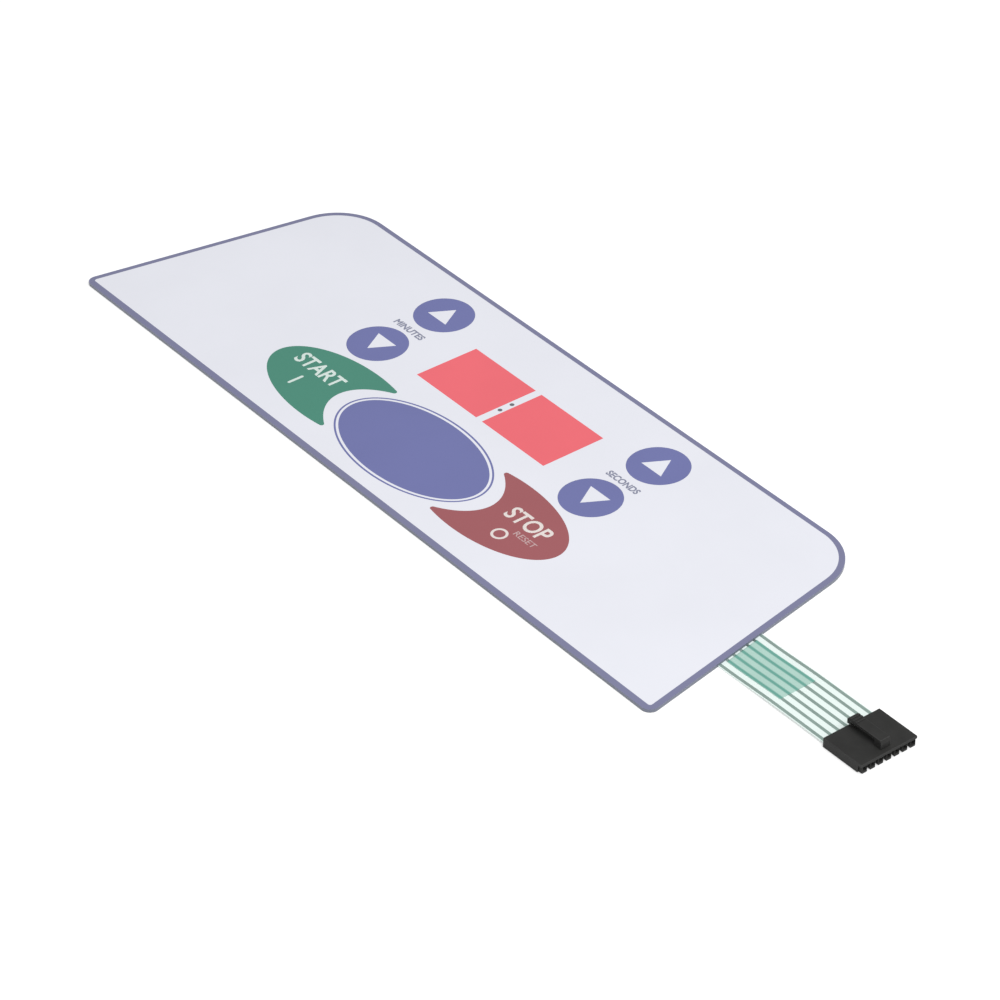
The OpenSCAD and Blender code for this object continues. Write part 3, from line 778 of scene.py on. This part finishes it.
ringRadius = marks["ringOuter"] / 2
printedShape("startMark", "start_letter_ink",
             placed(startAt, marks["bar"], barPoints(*marks["barSize"], marks["steps"])))
printedShape("stopMark", "stop_letter_ink",
             placed(stopAt, marks["ring"], circlePoints(ringRadius, marks["steps"])),
             placed(stopAt, marks["ring"], circlePoints(ringRadius - marks["ringStroke"], marks["steps"])))
print("printed words and marks made")

# Connector housing: the CAD's own form with its outer edges rounded as a moulding's are
housing = {"round": 0.11 * mm, "segments": 3, "longEnough": 0.9 * mm, "sharp": math.radians(30),
           "flatTop": 2.8 * mm, "noses": 1.3 * mm, "inset": 0.05 * mm}


# Outer edges are those on the sides and the top, and those of the bottom near both ends
def isOuterEdge(edge):
    middle = (edge.verts[0].co + edge.verts[1].co) / 2
    inset = housing["inset"]
    low, high = housingLow, housingHigh
    onSide = middle.y < low.y + inset or middle.y > high.y - inset
    onTop = middle.z > housing["flatTop"] - inset
    atEnd = middle.x < low.x + inset or middle.x > high.x - housing["noses"]
    onBottom = middle.z < low.z + inset
    return onSide or onTop or (atEnd and onBottom)


def roundedHousing():
    mesh = copyOfNode("connector_housing", "connectorShell")
    solid = bmesh.new()
    solid.from_mesh(mesh)
    weights = solid.edges.layers.float.new("bevel_weight_edge")
    for edge in solid.edges:
        if len(edge.link_faces) != 2 or not edge.is_convex:
            continue
        if edge.calc_face_angle() < housing["sharp"] or edge.calc_length() < housing["longEnough"]:
            continue
        edge[weights] = 1.0 if isOuterEdge(edge) else 0.0
    solid.to_mesh(mesh)
    solid.free()
    mesh.materials.append(materials["housing_plastic"])
    mesh.materials.append(materials["rubbed_plastic"])
    piece = addPiece("connectorShell", mesh)
    bevel = piece.modifiers.new("roundedEdges", "BEVEL")
    bevel.width = housing["round"]
    bevel.segments = housing["segments"]
    bevel.limit_method = "WEIGHT"
    bevel.material = 1
    bevel.harden_normals = False
    rounded = evaluatedMesh(piece)
    piece.modifiers.clear()
    piece.data = rounded
    return piece


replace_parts(roundedHousing(), "connector_housing")
print("connector housing made")

# Crimp contacts: one formed strip with softened bends, repeated at the connector's pitch
contacts = {"count": 7, "reach": 0.75, "softened": 0.03 * mm, "segments": 2, "sharp": math.radians(60)}


def oneContact():
    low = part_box("crimp_contacts")[0]
    solid = bmesh.new()
    solid.from_mesh(nodes["crimp_contacts"].data)
    bmesh.ops.remove_doubles(solid, verts=solid.verts, dist=weld["close"])
    others = [v for v in solid.verts if v.co.y > low.y + tailPitch * contacts["reach"]]
    bmesh.ops.delete(solid, geom=others, context="VERTS")
    bmesh.ops.dissolve_limit(solid, angle_limit=weld["flat"], verts=solid.verts, edges=solid.edges)
    bends = [e for e in solid.edges if len(e.link_faces) == 2 and e.calc_face_angle() > contacts["sharp"]]
    bmesh.ops.bevel(solid, geom=bends, offset=contacts["softened"], segments=contacts["segments"],
                    profile=0.5, affect="EDGES", clamp_overlap=True)
    bmesh.ops.dissolve_degenerate(solid, dist=weld["close"], edges=solid.edges)
    return meshFrom(solid, "oneContact")


def makeRowTree():
    tree = bpy.data.node_groups.new("contactRow", "GeometryNodeTree")
    tree.is_modifier = True
    for label, way, kind in (("Contact", "INPUT", "Geometry"), ("Count", "INPUT", "Int"),
                             ("Pitch", "INPUT", "Float"), ("Finish", "INPUT", "Material"),
                             ("Row", "OUTPUT", "Geometry")):
        tree.interface.new_socket(label, in_out=way, socket_type="NodeSocket" + kind)
    start = addNode(tree, "NodeGroupInput", (-600, 0)).outputs
    end = addNode(tree, "NodeGroupOutput", (800, 0)).inputs
    offset = addNode(tree, "ShaderNodeCombineXYZ", (-400, -200))
    line = addNode(tree, "GeometryNodeMeshLine", (-200, 0))
    spread = addNode(tree, "GeometryNodeInstanceOnPoints", (0, 0))
    real = addNode(tree, "GeometryNodeRealizeInstances", (200, 0))
    finished = addNode(tree, "GeometryNodeSetMaterial", (400, 0))
    for source, target in (
        (start["Pitch"], offset.inputs["Y"]),
        (start["Count"], line.inputs["Count"]),
        (offset.outputs[0], line.inputs["Offset"]),
        (line.outputs["Mesh"], spread.inputs["Points"]),
        (start["Contact"], spread.inputs["Instance"]),
        (spread.outputs["Instances"], real.inputs["Geometry"]),
        (real.outputs["Geometry"], finished.inputs["Geometry"]),
        (start["Finish"], finished.inputs["Material"]),
        (finished.outputs["Geometry"], end["Row"]),
    ):
        tree.links.new(source, target)
    return tree


def contactRow():
    host = bpy.data.objects.new("contactHost", oneContact())
    scene.collection.objects.link(host)
    row = host.modifiers.new("contactRow", "NODES")
    row.node_group = makeRowTree()
    given = {"Count": contacts["count"], "Pitch": tailPitch, "Finish": materials["tin_plate"]}
    for socket in row.node_group.interface.items_tree:
        if socket.in_out == "INPUT" and socket.name in given:
            row[socket.identifier] = given[socket.name]
    mesh = evaluatedMesh(host)
    bpy.data.objects.remove(host)
    mesh.name = "contactRow"
    return addPiece("contactRow", mesh)


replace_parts(contactRow(), "crimp_contacts")
print("crimp contacts made")

# Stage: pale floor and soft light from above. For the camera the floor is lifted to white, more so far
# from the lamp, and the world beyond it is white.
stage = {"floorReach": 6.0, "floorDrop": 0.00002, "floorShade": 0.82, "floorRough": 0.9,
         "nearLift": 0.34, "farLift": 0.75, "liftFrom": 0.4, "liftTo": 1.4,
         "worldStrength": 0.40, "lampPower": 20.0, "lampSize": 1.4, "lampAt": (0.72, -0.1, 1.45)}


def makeFloor():
    reach = stage["floorReach"]
    corners = [(-reach, -reach), (reach, -reach), (reach, reach), (-reach, reach)]
    mesh = bpy.data.meshes.new("floor")
    mesh.from_pydata([(x, y, -stage["floorDrop"]) for x, y in corners], [], [(0, 1, 2, 3)])
    material, tree, surface, where = newMaterial("paleFloor")
    surface.inputs["Base Color"].default_value = (*[stage["floorShade"]] * 3, 1.0)
    surface.inputs["Roughness"].default_value = stage["floorRough"]
    surface.inputs["Specular IOR Level"].default_value = 0.0
    surface.inputs["Emission Color"].default_value = (1, 1, 1, 1)
    path = addNode(tree, "ShaderNodeLightPath", (-800, -400))
    seen = addMath(tree, (-500, -400), "MAXIMUM",
                   path.outputs["Is Camera Ray"], path.outputs["Is Glossy Ray"])
    seen = addMath(tree, (-300, -400), "MAXIMUM", seen, path.outputs["Is Transmission Ray"])
    away = addNode(tree, "ShaderNodeVectorMath", (-800, -700), operation="LENGTH")
    tree.links.new(where.outputs["Object"], away.inputs[0])
    lift = addRange(tree, (-500, -700), away.outputs["Value"], stage["liftFrom"], stage["liftTo"],
                    stage["nearLift"], stage["farLift"])
    tree.links.new(addMath(tree, (-100, -400), "MULTIPLY", seen, lift), surface.inputs["Emission Strength"])
    mesh.materials.append(material)
    floor = bpy.data.objects.new("floor", mesh)
    scene.collection.objects.link(floor)


def makeWorld():
    world = bpy.data.worlds.new("studio")
    world.use_nodes = True
    tree = world.node_tree
    tree.nodes.clear()
    output = addNode(tree, "ShaderNodeOutputWorld", (600, 0))
    back = addNode(tree, "ShaderNodeBackground", (300, 0))
    back.inputs["Color"].default_value = (1, 1, 1, 1)
    tree.links.new(back.outputs[0], output.inputs["Surface"])
    path = addNode(tree, "ShaderNodeLightPath", (-400, 0))
    lift = addRange(tree, (0, 0), path.outputs["Is Camera Ray"], 0.0, 1.0, stage["worldStrength"], 1.0)
    tree.links.new(lift, back.inputs["Strength"])
    scene.world = world


def makeLamp():
    data = bpy.data.lights.new("softBox", "AREA")
    data.shape = "DISK"
    data.size = stage["lampSize"]
    data.energy = stage["lampPower"]
    lamp = bpy.data.objects.new("softBox", data)
    lamp.location = stage["lampAt"]
    lamp.rotation_euler = Vector(stage["lampAt"]).to_track_quat("Z", "Y").to_euler()
    scene.collection.objects.link(lamp)


makeFloor()
makeWorld()
makeLamp()

# Camera: fitted to the outline, windows and round keys of the photograph, with its angles in degrees
view = {"target": (0.03171, -0.01531, 0.001), "azimuth": 51.85, "elevation": 35.76, "distance": 0.97488,
        "roll": -0.096, "lens": 138.405, "sensor": 36}


def makeCamera():
    turn = math.radians(view["azimuth"])
    rise = math.radians(view["elevation"])
    back = Vector((math.sin(turn) * math.cos(rise), -math.cos(turn) * math.cos(rise), math.sin(rise)))
    data = bpy.data.cameras.new("camera")
    data.sensor_width = view["sensor"]
    data.lens = view["lens"]
    camera = bpy.data.objects.new("camera", data)
    camera.location = Vector(view["target"]) + back * view["distance"]
    aim = back.to_track_quat("Z", "Y").to_matrix().to_4x4()
    aim.translation = camera.location
    camera.matrix_world = aim
    camera.rotation_euler.rotate_axis("Z", math.radians(view["roll"]))
    scene.collection.objects.link(camera)
    scene.camera = camera


makeCamera()
scene.view_settings.view_transform = "Standard"
print("stage, light and camera set")
